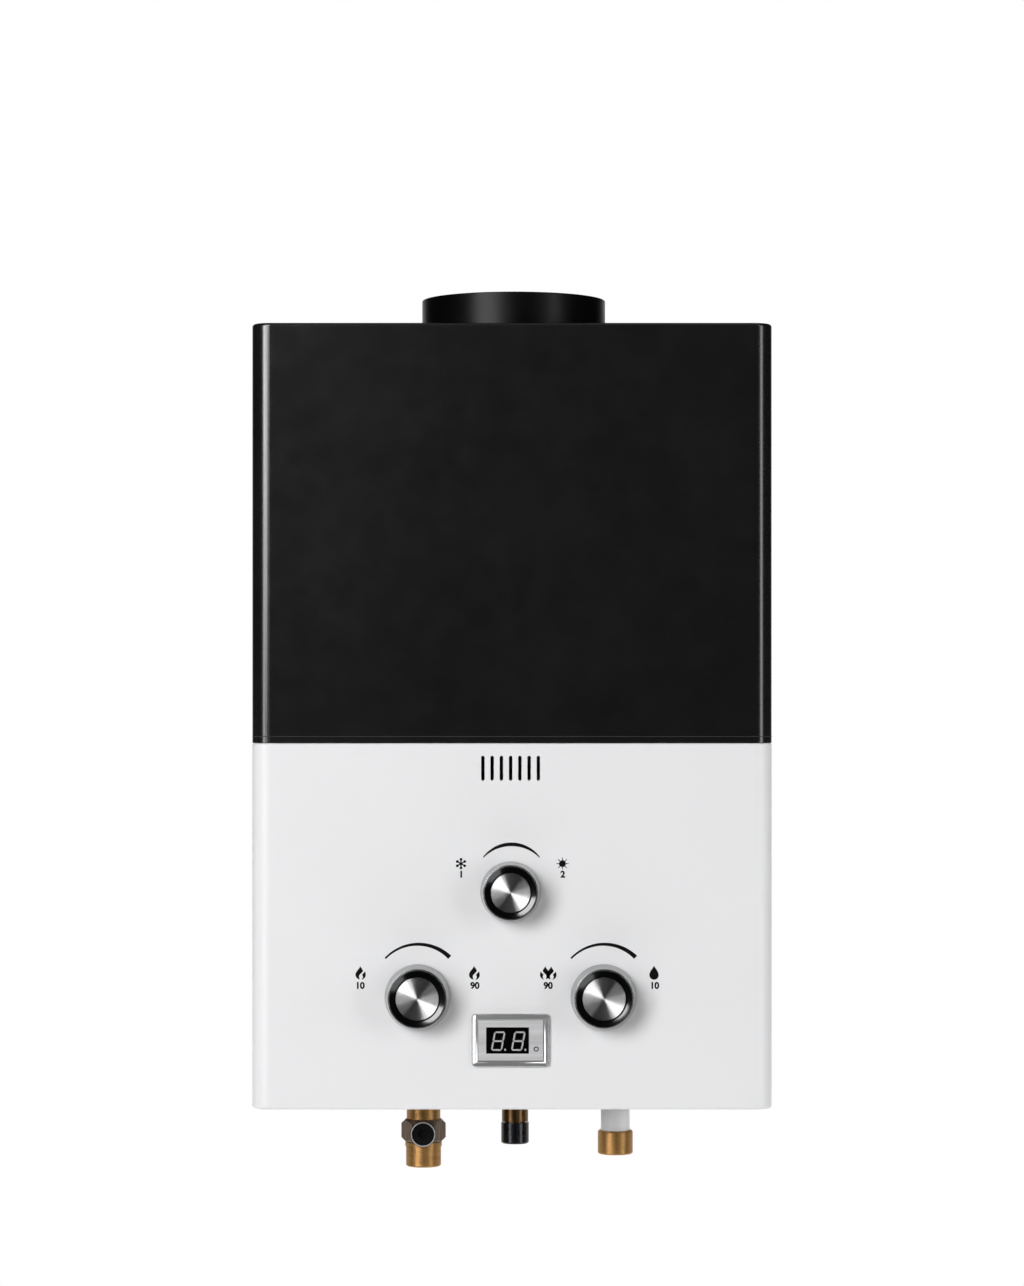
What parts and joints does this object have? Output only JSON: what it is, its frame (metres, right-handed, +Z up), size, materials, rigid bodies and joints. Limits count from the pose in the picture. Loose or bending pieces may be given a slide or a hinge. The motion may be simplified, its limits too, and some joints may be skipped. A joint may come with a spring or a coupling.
{
  "type": "tankless gas water heater",
  "caption": "Wall-hung instantaneous gas water heater: black and white sheet casing, round flue collar on top, turning knobs, a small temperature display and pipe fittings underneath.",
  "frame": {"origin": "centre of the four wall screw holes, on the rear face of the back plate", "axes": "+X to the right seen from the front, +Y into the wall, +Z up"},
  "size_m": [0.3082, 0.146, 0.5193],
  "materials": {
    "galvanised": "dull zinc-coated sheet",
    "black_coat": "satin black powder coat",
    "white_coat": "smooth white enamel",
    "screw_steel": "zinc-plated",
    "gloss_black": "gloss black enamel",
    "copper": "drawn copper",
    "black_plastic": "moulded black",
    "burner_steel": "stainless sheet",
    "cast_aluminium": "die-cast",
    "brass": "turned brass",
    "aged_brass": "forged and turned brass, darkened",
    "dark_brass": "dark turned brass",
    "ceramic": "white alumina",
    "rubber": "moulded",
    "spring_steel": "bright wire and pressed sheet",
    "black_steel": "black passivated steel",
    "white_nylon": "moulded white",
    "dark_plug": "moulded black",
    "cell_steel": "plain wrapped can",
    "chrome": "bright plating",
    "brushed_plate": "fine satin",
    "display_black": "tinted window",
    "board": "green laminate",
    "knob_black": "glossy moulding",
    "spun_aluminium": "turned rings"
  },
  "bodies": {
    "casing": {"back_plate": "galvanised", "bottom_plate": "galvanised", "upper_cover": "black_coat", "lower_cover": "white_coat", "cover_screws": "screw_steel", "flue_collar": "gloss_black", "collar_screws": "screw_steel", "draft_hood": "galvanised", "chamber_shell": "copper", "heat_fins": "copper", "fin_tubes": "copper", "water_coil": "copper", "cold_pipe": "copper", "hot_pipe": "copper", "overheat_thermostat": "black_plastic", "flue_thermostat": "black_plastic", "burner_frame": "galvanised", "burner_bars": "burner_steel", "gas_manifold": "cast_aluminium", "gas_jets": "brass", "electrodes": "ceramic", "season_valve_body": "cast_aluminium", "gas_valve_body": "cast_aluminium", "gas_spring": "spring_steel", "gas_solenoid": "black_plastic", "gas_inlet_union": "dark_brass", "gas_inlet_nipple": "black_steel", "water_valve_body": "white_nylon", "water_valve_cover": "white_nylon", "diaphragm": "rubber", "microswitch": "black_plastic", "cold_inlet_insert": "brass", "inlet_filter": "spring_steel", "hot_outlet_tee": "aged_brass", "relief_plug": "dark_plug", "igniter_box": "black_plastic", "battery_box": "black_plastic", "batteries": "cell_steel", "battery_contacts": "spring_steel", "display_bezel": "chrome", "display_plate": "brushed_plate", "display_module": "display_black", "display_board": "board"},
    "gas_knob": {"gas_knob_skirt": "chrome", "gas_knob_ring": "knob_black", "gas_knob_cap": "spun_aluminium", "gas_spindle": "brass"},
    "water_knob": {"water_knob_skirt": "chrome", "water_knob_ring": "knob_black", "water_knob_cap": "spun_aluminium", "water_spindle": "brass"},
    "season_knob": {"season_knob_skirt": "chrome", "season_knob_ring": "knob_black", "season_knob_cap": "spun_aluminium", "season_spindle": "brass"},
    "water_rod": {"push_rod": "spring_steel"},
    "gas_poppet": {"gas_poppet": "rubber"},
    "switch_lever": {"microswitch_lever": "spring_steel"},
    "battery_door": {"battery_door": "black_plastic"}
  },
  "joints": [
    {"name": "gas_turn", "type": "hinge", "parent": "casing", "child": "gas_knob", "pos_m": [-0.0551, -0.13, -0.1642], "axis": [0, 1, 0], "range_deg": [-65, 65]},
    {"name": "water_turn", "type": "hinge", "parent": "casing", "child": "water_knob", "pos_m": [0.0535, -0.13, -0.1642], "axis": [0, 1, 0], "range_deg": [-65, 65]},
    {"name": "season_turn", "type": "hinge", "parent": "casing", "child": "season_knob", "pos_m": [-0.0008, -0.13, -0.1026], "axis": [0, 1, 0], "range_deg": [-60, 60]},
    {"name": "rod_slide", "type": "slide", "parent": "casing", "child": "water_rod", "axis": [-1, 0, 0], "range_m": [0, 0.003], "stiffness_N_per_m": 300, "springref_m": -0.001},
    {"name": "poppet_slide", "type": "slide", "parent": "casing", "child": "gas_poppet", "axis": [-1, 0, 0], "range_m": [0, 0.003], "deforming": ["gas_spring"]},
    {"name": "lever_swing", "type": "hinge", "parent": "casing", "child": "switch_lever", "pos_m": [0.0223, -0.07, -0.1542], "axis": [0, 1, 0], "range_deg": [0, 45]},
    {"name": "door_swing", "type": "hinge", "parent": "casing", "child": "battery_door", "pos_m": [-0.105, -0.04805, -0.2266], "axis": [1, 0, 0], "range_deg": [0, 100]}
  ],
  "couplings": [
    {"joint": "poppet_slide", "follows": "rod_slide", "ratio": 1},
    {"joint": "lever_swing", "follows": "rod_slide", "rad_per_m": 190}
  ]
}
